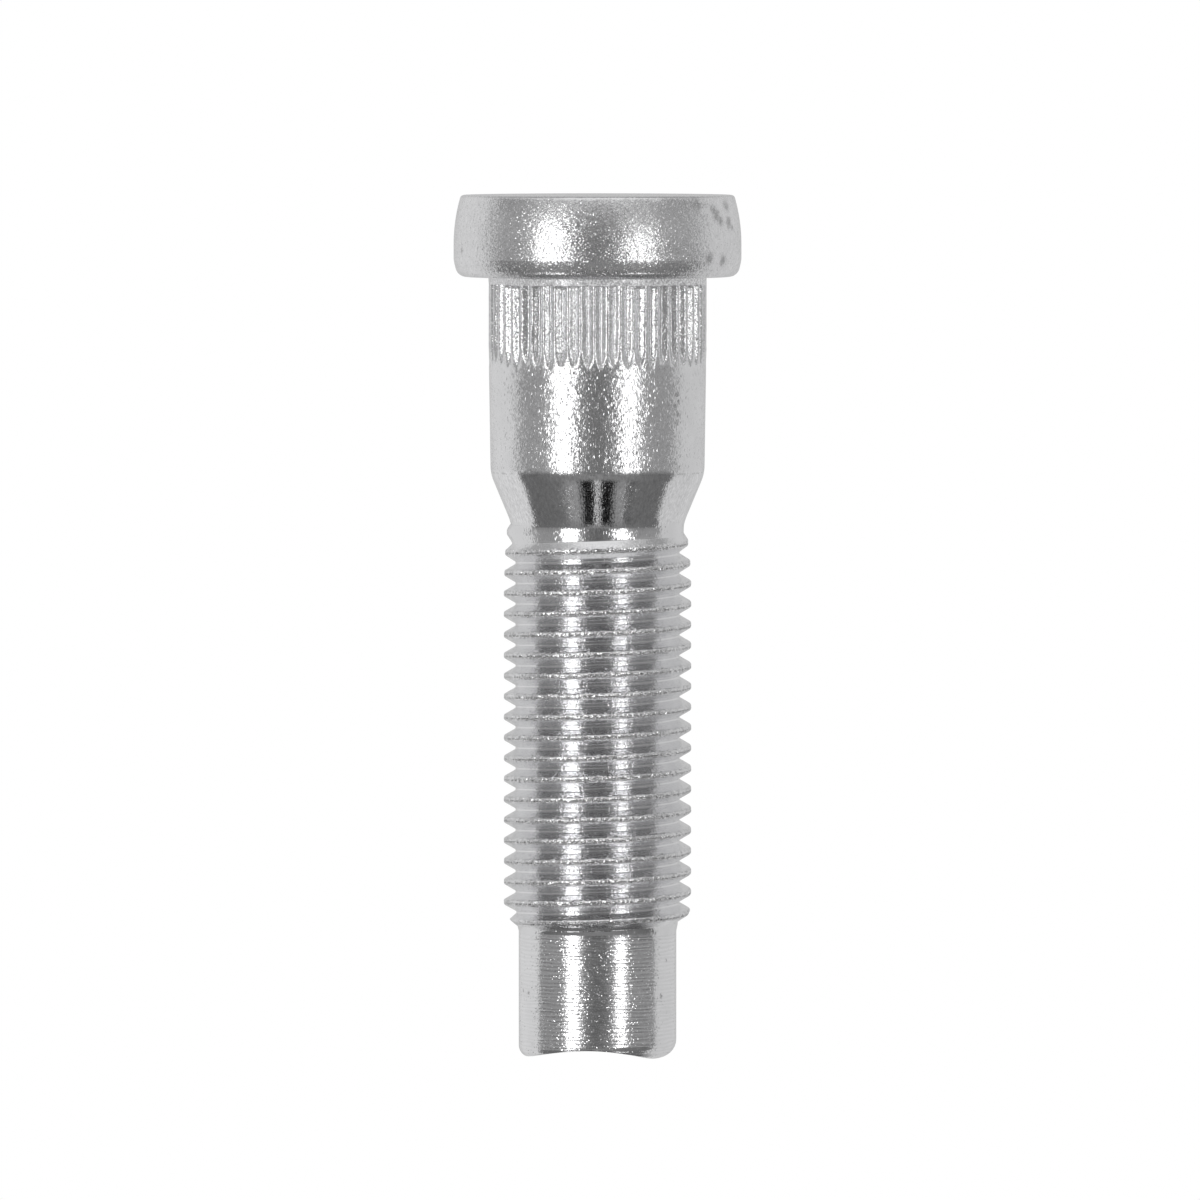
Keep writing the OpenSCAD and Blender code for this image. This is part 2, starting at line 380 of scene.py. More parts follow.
def cut_knurl(part, head, shank, knurl):
    """Presses the tapered grooves of the knurl into the collar's side."""
    chance = random.Random(KNURL_SEED)
    start = head.height + shank.collar_length
    end = start + knurl.length_along
    middle = (start + end) / 2
    collar = shank.collar_diameter / 2
    # Rounding of a groove's bottom, as a part of a tooth's width, and of its edge, as a part of its depth
    rounding = 0.14
    edge_rounding = 0.3
    grooves = []
    for groove in range(knurl.teeth):
        grooves.append({
            "depth": knurl.depth * chance.uniform(0.82, 1.1),
            "width": knurl.groove_share * chance.uniform(0.82, 1.12),
            "start": start + chance.uniform(-0.00007, 0.00016),
            "end": end + chance.uniform(-0.00022, 0.00008),
            "lean": chance.uniform(-0.07, 0.07),
            "top": chance.uniform(-0.000012, 0.000004),
        })
    for vert in part.verts:
        radius = math.hypot(vert.co.x, vert.co.y)
        height = vert.co.z
        # The underside of the head and the fillet stay as they are
        if radius > collar + 1e-6 or height < start - 0.0003:
            continue
        turn = math.atan2(vert.co.y, vert.co.x) / TURN % 1 * knurl.teeth
        cell = round(turn)
        groove = grooves[cell % knurl.teeth]
        # Each groove leans and wavers a little
        wave = 0.05 * noise.noise(Vector((cell * 3.1, height * 900, 0)))
        across = turn - cell + groove["lean"] * (height - middle) / knurl.length_along + wave
        across = math.hypot(across, rounding) - rounding
        top = knurl.diameter / 2 + groove["top"]
        top += (collar - top) * (1 - smooth(height, start - 0.0001, start + 0.0003))
        top += (shank.top_diameter / 2 - top) * smooth(height, end - knurl.run_out, end + 0.0001)
        # A groove starts raggedly, and ends as round as the tool that pressed it
        ragged = groove["start"] + 0.0002 * noise.noise(Vector((vert.co.x * 2600, vert.co.y * 2600, 0)))
        shallow = 1 - min(max(groove["end"] - height, 0) / knurl.run_out, 1)
        fall = groove["depth"] * min(smooth(height, ragged, ragged + knurl.run_in), 1 - shallow * shallow)
        # A groove keeps the slope of its sides, so it narrows where it rises
        slope = groove["depth"] / (math.hypot(groove["width"], rounding) - rounding)
        sink = fall - slope * across
        # Rounds the edge between the groove's side and the top of the tooth
        sink = (sink + math.hypot(sink, groove["depth"] * edge_rounding)) / 2
        sink *= smooth(fall, 0, groove["depth"] * 0.1)
        # The pressed metal is uneven, but for the plain surfaces beside the knurl
        burr = 0.00001 * noise.noise(vert.co * 2600)
        burr *= smooth(height, start - 0.00025, start) * (1 - smooth(height, end - 0.0014, end + 0.0001))
        new = top - sink + burr
        vert.co.x *= new / radius
        vert.co.y *= new / radius


def thread_section(thread):
    """Heights and radii of one pitch of the thread, from the middle of a root to the next one."""
    crest = thread.diameter / 2
    root = crest - thread.depth
    sine, cosine = math.sin(thread.flank), math.cos(thread.flank)
    # The two roundings and the straight flank together fill half a pitch and the whole depth
    width = thread.pitch / 2 - thread.crest_flat
    rounds = (width * sine / cosine - thread.depth) / (sine * sine / cosine - (1 - cosine))
    root_radius = rounds - thread.crest_radius
    half = []
    for part in (0.0, 0.5, 1.0):
        tilt = part * thread.flank
        half.append((root_radius * math.sin(tilt), root + root_radius * (1 - math.cos(tilt))))
    rounded = []
    for part in (1.0, 0.68, 0.34, 0.0):
        tilt = part * thread.flank
        rounded.append((
            width - thread.crest_radius * math.sin(tilt),
            crest - thread.crest_radius * (1 - math.cos(tilt)),
        ))
    # Two more points keep the flank flat between its roundings
    low, high = half[-1], rounded[0]
    for part in (0.1, 0.9):
        half.append((low[0] + (high[0] - low[0]) * part, low[1] + (high[1] - low[1]) * part))
    half += rounded
    section = half + [(thread.pitch / 2, crest - thread.seam_depth)]
    section += [(thread.pitch - height, radius) for height, radius in reversed(half)]
    return section


def crest_height(thread):
    """Height of the middle of a crest at the start angle, the same as in the solid model."""
    return thread.neck_end - 0.0013 - 1.7 * thread.pitch


def wound_thread(thread, base, tip_radius):
    """Winds one pitch of the section round the axis, repeats it and fits its ends to the neck and the tip."""
    crest = thread.diameter / 2
    root = crest - thread.depth
    low = thread.start
    top = thread.end + TIP_GAP
    turns = math.ceil((top - low) / thread.pitch) + 2
    first = crest_height(thread) - thread.pitch / 2
    first += thread.pitch * math.floor((low - thread.pitch - first) / thread.pitch)
    angle_start = thread.start_angle
    part = bmesh.new()
    line = [
        part.verts.new((r * math.cos(angle_start), r * math.sin(angle_start), first + z))
        for z, r in thread_section(thread)
    ]
    edges = [part.edges.new(pair) for pair in zip(line, line[1:])]
    bmesh.ops.spin(
        part, geom=line + edges, cent=(0, 0, 0), axis=(0, 0, 1), dvec=(0, 0, thread.pitch / thread.columns),
        angle=TURN, steps=thread.columns, use_merge=False,
    )
    faces = list(part.faces)
    for turn in range(1, turns):
        copy = bmesh.ops.duplicate(part, geom=faces)["geom"]
        new = [item for item in copy if isinstance(item, bmesh.types.BMVert)]
        bmesh.ops.translate(part, vec=(0, 0, turn * thread.pitch), verts=new)
    merge(part)

    # Heights and radii of the crest and of the root, from the neck to the tip
    neck = base.points[-1][0]
    full = thread.neck_end + 0.003
    crest_line = [
        (thread.neck_end - 0.00094, neck),
        (thread.neck_end - 0.00084, crest - 0.00026),
        (thread.neck_end - 0.0007, crest - 0.00018),
        (thread.neck_end, crest - 0.00022),
        (thread.neck_end + 0.0007, crest - 0.0001),
        (full, crest),
        (thread.end - 0.0016, crest),
        (thread.end - 0.0008, crest - 0.4 * thread.depth),
        (thread.end - 0.00025, tip_radius + 0.00007),
        (thread.end + 0.00005, tip_radius),
    ]
    root_line = [
        (thread.neck_end - 0.0001, neck),
        (thread.neck_end + 0.0005, root),
        (thread.end - 0.0019, root),
        (thread.end - 0.0006, tip_radius + 0.00011),
        (thread.end + 0.00005, tip_radius),
    ]
    # Points as near as this to an end of the grid are moved onto it
    snap = 0.000008
    for vert in part.verts:
        radius = math.hypot(vert.co.x, vert.co.y)
        rise = (radius - root) / thread.depth
        height = vert.co.z
        if height < low + snap:
            height = low
        elif height > top - snap:
            height = top
        # The neck's foot is a little wider than the neck
        wider = base.radius_at(height) - neck if height < thread.neck_end else 0
        # Middle of the ridge that the point belongs to, so that a ridge starts along its own length
        turn = (math.atan2(vert.co.y, vert.co.x) - angle_start) / TURN % 1
        ridge = math.floor((vert.co.z - first) / thread.pitch - turn) + 0.5 + turn
        middle = first + ridge * thread.pitch
        crest_now = wider + reading(middle if middle < full else height, crest_line)
        root_now = wider + reading(height, root_line)
        crest_now = max(crest_now, root_now)
        # The top of the crest is a little uneven
        wear = 1.0
        if rise > 0.9:
            wear = 1 + 0.014 * noise.noise(vert.co * 2600) + 0.012 * noise.noise(vert.co * 6000)
        new = root_now + (crest_now - root_now) * rise * wear
        vert.co.x *= new / radius
        vert.co.y *= new / radius
        vert.co.z = height
    merge(part, 1e-6)
    return part


def closed_tip(thread, tip, top):
    """Makes the plain tip, its round edge and the hollow across its end."""
    radius = tip.diameter / 2
    bottom = thread.end + TIP_GAP
    start = top - tip.rounding_wide
    side_steps, rim_steps, lip_steps, floor_steps = 12, 8, 6, 8
    rings = rim_steps + lip_steps + floor_steps
    # The rings of the end are spun as a flat cone first, and its slight rise tells them apart afterwards
    mark = 1e-5
    outline = [(radius, bottom + (start - bottom) * step / side_steps) for step in range(side_steps + 1)]
    outline += [(radius * (1 - ring / rings), start + ring * mark) for ring in range(1, rings + 1)]
    part = spun(outline, thread.columns, thread.start_angle)

    def hollow(x):
        """Height of the hollow's floor."""
        return top - tip.hollow_depth + tip.hollow_radius - math.sqrt(
            tip.hollow_radius ** 2 - (x - tip.hollow_offset) ** 2
        )

    def rim(distance, rounding):
        """Radius and height at a distance along the rounding and the flat end, from the plain side."""
        arc = rounding * math.pi / 2
        if distance < arc:
            turn = distance / rounding
            return radius - rounding + rounding * math.cos(turn), top - rounding + rounding * math.sin(turn)
        return radius - rounding - (distance - arc), top

    for vert in part.verts:
        if vert.co.z < start + mark / 2:
            continue
        ring = round((vert.co.z - start) / mark)
        turn = math.atan2(vert.co.y, vert.co.x)
        wide = (1 - math.cos(turn)) / 2
        rounding = tip.rounding_tight + (tip.rounding_wide - tip.rounding_tight) * wide
        lead = tip.rounding_wide - rounding
        # Halves the distance again and again to find where the rim meets the hollow
        near, far = 0.0, radius
        for halving in range(30):
            middle = (near + far) / 2
            r, z = rim(middle, rounding)
            if z < hollow(r * math.cos(turn)):
                near = middle
            else:
                far = middle
        # The lip's rings go from two lips' widths before that edge to one after it
        lip = tip.lip
        if ring <= rim_steps:
            reach = (lead + near - 2 * lip) * ring / rim_steps - lead
            r, z = rim(reach, rounding) if reach > 0 else (radius, top - rounding + reach)
        elif ring <= rim_steps + lip_steps:
            r, z = rim(near + lip * ((ring - rim_steps) / 2 - 2), rounding)
        else:
            inner = rim(near + lip, rounding)[0]
            r = inner * (1 - (ring - rim_steps - lip_steps) / floor_steps)
            z = top
        floor = hollow(r * math.cos(turn))
        # A soft least of the two surfaces rounds the lip between them
        gap = max(lip - abs(z - floor), 0) / lip
        z = min(z, floor) - gap * gap * lip / 4
        vert.co = (r * math.cos(turn), r * math.sin(turn), z)
    merge(part)
    return part


def operator(operation, swapped=False):
    """An operator of Python that adds one Math node, with its two values swapped for a reflected one."""
    def act(self, other):
        first, second = (other, self) if swapped else (self, other)
        return self.maker.maths(operation, first, second)
    return act


class Term:
    """A value in a material: an output socket on which Python's operators act."""

    def __init__(self, maker, socket):
        self.maker = maker
        self.socket = socket

    __add__ = __radd__ = operator("ADD")
    __mul__ = __rmul__ = operator("MULTIPLY")
    __sub__ = operator("SUBTRACT")
    __rsub__ = operator("SUBTRACT", swapped=True)
    __truediv__ = operator("DIVIDE")
    __rtruediv__ = operator("DIVIDE", swapped=True)
    __pow__ = operator("POWER")
    __rpow__ = operator("POWER", swapped=True)


class NodeMaker:
    """Adds nodes to the tree of a material or of the world."""

    def __init__(self, tree):
        self.tree = tree
        tree.nodes.clear()

    def node(self, kind, settings=None, values=None, output=0):
        """Adds one node: its settings first, then the values or links of its sockets."""
        made = self.tree.nodes.new(kind)
        for name, value in (settings or {}).items():
            if name == "stops":
                ramp = made.color_ramp
                while len(ramp.elements) > 1:
                    ramp.elements.remove(ramp.elements[-1])
                ramp.elements[0].position = value[0][0]
                ramp.elements[0].color = [value[0][1]] * 3 + [1]
                for position, grey in value[1:]:
                    ramp.elements.new(position).color = [grey] * 3 + [1]
            else:
                setattr(made, name, value)
        for name, value in (values or {}).items():
            if isinstance(value, Term):
                self.tree.links.new(value.socket, made.inputs[name])
            else:
                made.inputs[name].default_value = value
        return Term(self, made.outputs[output]) if made.outputs else made

    def maths(self, operation, first, second=0.0):
        """One step of arithmetic on values."""
        return self.node("ShaderNodeMath", {"operation": operation}, {0: first, 1: second})

    def vectors(self, operation, first, second=(0, 0, 0), output=0):
        """One step of arithmetic on vectors."""
        return self.node("ShaderNodeVectorMath", {"operation": operation}, {0: first, 1: second}, output)

    def scaled(self, vector, amount):
        """A vector made longer or shorter, or a colour made brighter or darker."""
        return self.node("ShaderNodeVectorMath", {"operation": "SCALE"}, {0: vector, "Scale": amount})

    def stretched(self, place, factors):
        """A place with its axes stretched."""
        return self.node("ShaderNodeMapping", {}, {"Vector": place, "Scale": factors})

    def parts(self, place):
        """The three coordinates of a place."""
        split = self.node("ShaderNodeSeparateXYZ", {}, {"Vector": place}).socket.node
        return [Term(self, split.outputs[axis]) for axis in "XYZ"]

    def ramp(self, value, low, high, first=0.0, last=1.0, kind="SMOOTHSTEP"):
        """Goes from a first to a last value while another one goes from low to high."""
        return self.node(
            "ShaderNodeMapRange", {"interpolation_type": kind},
            {"Value": value, "From Min": low, "From Max": high, "To Min": first, "To Max": last},
        )

    def band(self, value, low, high, edge):
        """Is one between two values and nought outside them, with soft edges."""
        rise = self.ramp(value, low - edge, low + edge)
        return rise * self.ramp(value, high - edge, high + edge, 1.0, 0.0)

    def grain(self, place, scale, detail=2.0, roughness=0.5):
        """Noise about 0.5 at a place."""
        values = {"Vector": place, "Scale": scale, "Detail": detail, "Roughness": roughness}
        return self.node("ShaderNodeTexNoise", {}, values)

    def crystals(self, place, scale, shape, calm, wild, rare):
        """Leaning of the plate's crystals: each leans its own way, and the rare ones lean much more."""
        colour = self.node("ShaderNodeTexVoronoi", {}, {"Vector": place, "Scale": scale}, "Color")
        chance = self.node("ShaderNodeTexWhiteNoise", {}, {"Vector": colour}, "Value")
        lean = self.stretched(self.vectors("SUBTRACT", colour, (0.5, 0.5, 0.5)), shape)
        return self.scaled(lean, calm + wild * self.ramp(chance, *rare, kind="LINEAR"))

    def grey(self, level):
        """A grey of a level."""
        return self.node("ShaderNodeCombineColor", {}, {"Red": level, "Green": level, "Blue": level})

    def greys(self, value, stops):
        """Reads a value off a row of greys."""
        return self.node("ShaderNodeValToRGB", {"stops": stops}, {"Fac": value})

    def mixed(self, part, first, second, blend="MIX"):
        """Mixes two colours."""
        settings = {"data_type": "RGBA", "blend_type": blend}
        return self.node("ShaderNodeMix", settings, {0: part, 6: first, 7: second}, 2)


def new_material(name):
    """A material, and the maker of its nodes."""
    material = bpy.data.materials.new(name)
    material.use_nodes = True
    return material, NodeMaker(material.node_tree)


class Zones:
    """Masks of the stud's zones: each is one in its zone and nought outside it, with soft edges."""

    def __init__(self, maker, height):
        soft = 0.0002
        self.head = maker.ramp(height, HEAD_END - soft / 2, HEAD_END, 1.0, 0.0)
        self.collar = maker.band(height, HEAD_END, COLLAR_END, soft / 4)
        self.knurl = maker.band(height, HEAD_END, KNURL_END, soft)
        self.shank = maker.band(height, KNURL_END, SHANK_END, soft)
        self.taper = maker.band(height, SHANK_END, TAPER_END, soft)
        self.thread = maker.band(height, TAPER_END, THREAD_END, soft)
        self.ridges = maker.band(height, FIRST_CREST, LAST_CREST, soft)
        self.tip = maker.ramp(height, THREAD_END - soft / 2, THREAD_END + soft)

    def sum(self, **weights):
        """Adds up the masks named, each times its weight."""
        terms = [getattr(self, name) * weight for name, weight in weights.items()]
        return sum(terms[1:], terms[0])


# Small stains: place on the stud and size, in metres
STAINS = [
    (-0.0085, -0.0059, 0.0010, 0.00042),
    (-0.0087, -0.0057, 0.0014, 0.00050),
    (-0.0089, -0.0053, 0.0018, 0.00040),
    (-0.0095, -0.0041, 0.0020, 0.00044),
    (-0.0097, -0.0036, 0.0023, 0.00022),
    (-0.0095, -0.0041, 0.0007, 0.00048),
    (-0.0092, -0.0047, 0.0004, 0.00022),
    (-0.0073, -0.0073, 0.0006, 0.00046),
    (-0.0079, -0.0067, 0.0006, 0.00026),
    (-0.0080, -0.0066, 0.0045, 0.00042),
    (-0.0090, -0.0052, 0.0047, 0.00040),
    (0.0098, -0.0036, 0.0040, 0.00024),
    (-0.0058, -0.0054, 0.0144, 0.00020),
    (-0.0059, -0.0053, 0.0149, 0.00018),
    (-0.0057, -0.0055, 0.0152, 0.00018),
    (-0.0059, -0.0053, 0.0158, 0.00020),
    (-0.0058, -0.0054, 0.0164, 0.00022),
    (0.0054, -0.0020, 0.0579, 0.00014),
    (0.0050, -0.0028, 0.0580, 0.00016),
    (-0.0046, -0.0034, 0.0582, 0.00018),
    (-0.0050, -0.0028, 0.0556, 0.00012),
    (0.0030, -0.0049, 0.0622, 0.00018),
    (0.0073, 0.0070, 0.0021, 0.00030),
    (0.0021, 0.0100, 0.0033, 0.00022),
    (-0.0056, 0.0055, 0.0171, 0.00024),
    (0.0049, 0.0029, 0.0590, 0.00016),
]


def helix_distance(maker, place, thread):
    """Distance from the middle of the thread's crest, in pitches, between minus a half and a half."""
    x, y, z = maker.parts(place)
    turn = maker.maths("ARCTAN2", y, x) / TURN
    crest = crest_height(thread) / thread.pitch - thread.start_angle / TURN
    return maker.maths("FRACT", z / thread.pitch - turn - (crest - 0.5)) - 0.5


def crystal_leaning(maker, place, away, zones, finish):
    """Leaning of all the crystals of the plate, as vectors to add to the normal."""
    size = 1 / finish.crystal
    grains = maker.crystals(
        place, 1.1 * size, (1, 1, 0.65),
        calm=zones.sum(head=0.16, knurl=0.2, tip=0.03, thread=0.02),
        wild=zones.sum(head=0.4, knurl=0.6, tip=0.44, thread=0.08),
        rare=(0.6, 0.97),
    )
    # Those on the drawn shank are long, as the metal below them is
    needles = maker.crystals(
        maker.stretched(place, (1, 1, 0.3)), 1.4 * size, (1, 1, 0.5),
        calm=zones.sum(shank=0.13, taper=0.03, thread=0.08),
        wild=zones.sum(shank=0.42, taper=0.07, thread=0.24),
        rare=(0.55, 0.97),
    )
    # The folded metal of the thread's crests leans most
    fold = maker.band(away, -0.17, 0.15, 0.06) * zones.ridges
    beads = maker.crystals(place, 0.6 * size, (1.7, 1.7, 0.25), fold * 0.03, fold * 0.77, (0.25, 0.95))
    return grains, needles, beads


def stain_mask(maker, place, ragged):
    """Mask of the stains in the list, with ragged edges."""
    stain = 0.0
    for x, y, z, size in STAINS:
        apart = maker.vectors("DISTANCE", place, (x, y, z), "Value")
        spot = maker.ramp(apart / size + (ragged - 0.5) * 4.6, 0.3, 1.3, 1.0, 0.0)
        stain = maker.maths("MAXIMUM", spot, stain)
    return stain


def zinc_material(finish, thread):
    """Bright zinc plate: grain, crystals, turning rings on the tip, open seams on the crests and stains, with
    painted shade in the seams and along the crease above the taper, and painted shading along the rings.
    """
    material, maker = new_material("zinc_plate")
    place = maker.node("ShaderNodeTexCoord", {}, {}, "Object")
    height = maker.parts(place)[2]
    away = helix_distance(maker, place, thread)
    zones = Zones(maker, height)

    # Grain of the plate, and a swell that is four times as wide
    fine = maker.grain(place, 1 / finish.grain, 1.0, 0.6)
    fine_part = fine * zones.sum(head=1, knurl=1.2, shank=0.6, taper=0.3, thread=0.01, tip=0.3)
    swell = maker.grain(place, 0.25 / finish.grain, 1.0)
    swell_part = swell * zones.sum(head=1.2, knurl=1, taper=0.25)
    grain_relief = (fine_part + swell_part) * finish.grain_depth

    # Rings that turning left round the tip, deeper in some patches
    wobble = maker.grain(maker.stretched(place, (0.12, 0.12, 1)), 3000, 1.0)
    ring_turn = (height / finish.ring_spacing + wobble * 1.3) * TURN
    patches = maker.ramp(maker.grain(place, 900, 2.0), 0.3, 0.62, 0.4, 1.15)
    rings = maker.maths("SINE", ring_turn) * patches * zones.tip

    # Fine lines along the axis, as drawing the bar and rolling the thread leave them
    level_place = maker.vectors("NORMALIZE", maker.stretched(place, (1, 1, 0)))
    level_place = maker.scaled(level_place, thread.diameter / 2)
    round_place = maker.vectors("ADD", level_place, maker.stretched(place, (0, 0, 0.1)))
    lines = maker.grain(round_place, 9500, 1.5) * zones.sum(head=1.2, shank=0.5, taper=0.8, thread=0.7)

    # Seam that rolling leaves along the crest, open in some places and closed in others, and its beads
    breaks = maker.ramp(maker.grain(maker.stretched(place, (1, 1, 0.4)), 5200, 3.0, 0.7), 0.47, 0.54)
    seam = maker.band(away + (breaks - 0.5) * 0.03, 0.012, 0.092, 0.02) * zones.ridges * breaks
    beads = maker.grain(place, 9000, 2.0) * maker.band(away, -0.13, 0.13, 0.03) * zones.ridges

    relief = grain_relief + rings * finish.ring_depth + lines * LINE_DEPTH
    relief = relief + beads * BEAD_HEIGHT - seam * SEAM_CUT
    normal = maker.node("ShaderNodeBump", {}, {"Strength": 1.0, "Distance": 1.0, "Height": relief})
    for leaning in crystal_leaning(maker, place, away, zones, finish):
        normal = maker.vectors("ADD", normal, leaning)
    normal = maker.vectors("NORMALIZE", normal)

    # Dark marks: stains, a little dust and specks on the ridges, and painted shade in the open seam and along
    # the crease above the taper
    ragged = maker.grain(place, 8500, 3.0, 0.7)
    stain = stain_mask(maker, place, ragged)
    dust = maker.ramp(maker.grain(place, 3100, 3.0, 0.7), 0.66, 0.74) * (zones.head * 0.6 + 0.25)
    # Painted shade: a broken dark line along the crease above the taper
    crease = maker.band(height + (ragged - 0.5) * 0.0004, 0.02012, 0.02021, 0.00004)
    crease = crease * maker.ramp(maker.grain(place, 1500, 2.0), 0.45, 0.6)
    specks = maker.ramp(maker.grain(place, 10500, 1.0), 0.58, 0.7)
    specks = specks * maker.band(away, -0.2, 0.25, 0.08) * zones.ridges
    # The seam's and the crease's darkening is painted shade; the stains, dust and specks are the plate's own
    # marks
    mark = maker.maths("MAXIMUM", stain * 0.6, dust * 0.4)
    mark = maker.maths("MAXIMUM", mark, seam * 0.72 + specks * 0.25 + crease * 0.4)

    # Clouds and a mottle in the plate's tone, and painted shading in faint bands along the turning rings
    clouds = maker.grain(place, 420, 3.0)
    mottle = maker.grain(maker.stretched(place, (1, 1, 0.5)), 5200, 3.0, 0.7) - 0.5
    # The rings' share of the tone is painted shading of their relief
    tone = maker.ramp(clouds, 0.3, 0.7, 0.96, 1.03, "LINEAR") + rings * 0.03
    tone = tone + mottle * zones.sum(taper=0.9, head=0.35, collar=0.6, knurl=0.3, ridges=0.15)
    plate = maker.mixed(1.0, (*finish.zinc, 1), maker.grey(tone), "MULTIPLY")
    colour = maker.mixed(mark, plate, (*finish.stain, 1))

    rough = finish.roughness + (clouds - 0.5) * 0.06 + mark * 0.3
    rough = rough + zones.sum(head=0.1, knurl=0.1, shank=0.08, taper=-0.03, thread=-0.02)
    rough = rough + maker.band(away, -0.07, 0.012, 0.025) * zones.ridges * 0.03
    # A pale bloom of the plate in the corner under the head, and a little of it between the teeth
    metal = 1 - zones.collar * maker.ramp(fine, 0.4, 0.58, 0.9, 0.35) - zones.knurl * 0.08
    shader = maker.node(
        "ShaderNodeBsdfPrincipled", {},
        {"Base Color": colour, "Metallic": metal, "Roughness": rough, "Normal": normal},
    )
    maker.node("ShaderNodeOutputMaterial", {}, {"Surface": shader})
    return material


class StudOperator(Operator):
    """Makes the stud as one closed piece around its frame"""

    bl_idname = "wheel_stud.make_stud"
    bl_label = "Make the stud"

    def execute(self, context):
        settings = context.scene.wheel_stud
        head, shank, knurl = settings.head, settings.shank, settings.knurl
        thread, tip = settings.thread, settings.tip
        bm = bmesh.new()

        head_line = head_outline(head, shank)
        add_part(bm, spun(head_line.points, head.columns))

        collar_line = collar_outline(head, shank, knurl)
        collar = spun(collar_line.points, knurl.teeth * knurl.columns)
        cut_knurl(collar, head, shank, knurl)
        add_part(bm, collar)

        shank_line = shank_outline(head, shank, knurl, thread)
        neck_top = thread.start - NECK_GAP
        body_points = [point for point in shank_line.points if point[1] < neck_top - NECK_GAP]
        body_points.append((shank_line.radius_at(neck_top), neck_top))
        add_part(bm, spun(body_points, shank.columns))

        add_part(bm, wound_thread(thread, shank_line, tip.diameter / 2))
        add_part(bm, closed_tip(thread, tip, STUD_TOP))
        merge(bm)

        # The thread and the tip share their ring of points, and the other parts are bridged
        joins = (
            (head_line.points[-1], collar_line.points[0]),
            ((shank_line.points[0][0], collar_line.points[-1][1]), shank_line.points[0]),
            (body_points[-1], (shank_line.radius_at(thread.start), thread.start)),
        )
        for low, high in joins:
            bmesh.ops.bridge_loops(bm, edges=ring_at(bm, *low) + ring_at(bm, *high))

        bmesh.ops.dissolve_degenerate(bm, edges=list(bm.edges), dist=MERGE)
        bmesh.ops.recalc_face_normals(bm, faces=list(bm.faces))
        open_edges = [edge for edge in bm.edges if not edge.is_manifold]
        if open_edges:
            raise RuntimeError(f"The stud is open at {open_edges[0].verts[0].co}: {len(open_edges)} edges")
        for face in bm.faces:
            face.smooth = True
        for edge in bm.edges:
            edge.smooth = edge.calc_face_angle(0) < SHARP

        mesh = bpy.data.meshes.new("plated_stud")
        bm.to_mesh(mesh)
        bm.free()
        mesh.materials.append(zinc_material(settings.finish, thread))
        stud = bpy.data.objects.new("plated_stud", mesh)
        context.scene.collection.objects.link(stud)
        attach(stud, "root")
        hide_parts(NODE)
        return {"FINISHED"}


def place_mesh(name, bm, material, context):
    """Puts a mesh on the stage."""
    mesh = bpy.data.meshes.new(name)
    bm.to_mesh(mesh)
    bm.free()
    mesh.materials.append(material)
    thing = bpy.data.objects.new(name, mesh)
    context.scene.collection.objects.link(thing)
    return thing


# Radius of the room and of the floor, and distance of the lamps from the axis, in metres
ROOM_RADIUS = 2.0
FLOOR_RADIUS = 0.7
LAMP_DISTANCE = 1.0
# Levels of the room's front at the camera's height, where the dark camera stands before a grey wall,
# by the angle from the camera's side as a part of half a turn
WALL_GREYS = [(0, 0.16), (0.05, 0.19), (0.11, 0.31), (0.16, 0.37), (0.3, 0.37), (1, 0.38)]
# The same a step above that wall
STEP_GREYS = [(0, 0.27), (0.2, 0.24), (0.42, 0.17), (1, 0.17)]
# The same higher still, where it is dark with a thin bright gap straight above the camera
HIGH_GREYS = [
    (0, 0.9), (0.012, 0.75), (0.026, 0.0), (0.105, 0.0), (0.145, 0.33), (0.22, 0.31), (0.27, 0.17), (1, 0.19),
]
# Levels below the wall, by the angle from straight below as a part of half a turn
LOW_GREYS = [(0, 1.0), (0.29, 1.0), (0.33, 0.5), (0.39, 0.36), (1, 0.36)]
# Soft halos beside the strip lamps: angle of the lamp, where the halo starts and ends beside it, and level
HALOS = [(36.6, 7, 19, 0.45), (-33.9, 5, 16, 0.42)]
# Lamps: name, angle from the camera's side, width, lowest and highest angle, brightness and roll
LAMPS = [
    ("strip_left", 36.6, 14.5, -15.0, 13.0, 1.0, 0),
    ("strip_right", -34.6, 11.0, -7.0, 13.0, 0.9, 14),
    ("high_left", 48.8, 20.0, 50.0, 59.0, 1.2, 0),
    ("high_right", -46.0, 16.0, 50.0, 59.0, 1.1, 0),
]


def front_glow(maker, around, up, aside):
    """Glow of the room's front, the camera's side, which the middle of the stud mirrors."""
    share_around = aside / 180
    share_up = (up + 90) / 180
    halo = 0.0
    for middle, near, far, level in HALOS:
        halo = maker.ramp(maker.maths("ABSOLUTE", around - middle), near, far, level, 0.0) + halo
    # The wall darkens upwards
    wall = maker.scaled(maker.greys(share_around, WALL_GREYS), maker.ramp(up, -5, 14, 1.15, 0.72, "LINEAR"))
    wall = maker.vectors("ADD", wall, maker.grey(halo))
    low = maker.scaled(maker.greys(share_up, LOW_GREYS), maker.ramp(aside, 50, 80, 1.0, 0.6))
    high = maker.scaled(maker.greys(share_around, HIGH_GREYS), 1 - maker.band(around, -48, -40, 2) * 0.6)
    glow = maker.mixed(maker.ramp(up, -22, -14), low, wall)
    glow = maker.mixed(maker.ramp(up, 14.2, 15.4), glow, maker.greys(share_around, STEP_GREYS))
    return maker.mixed(maker.ramp(up, 30, 42), glow, high)


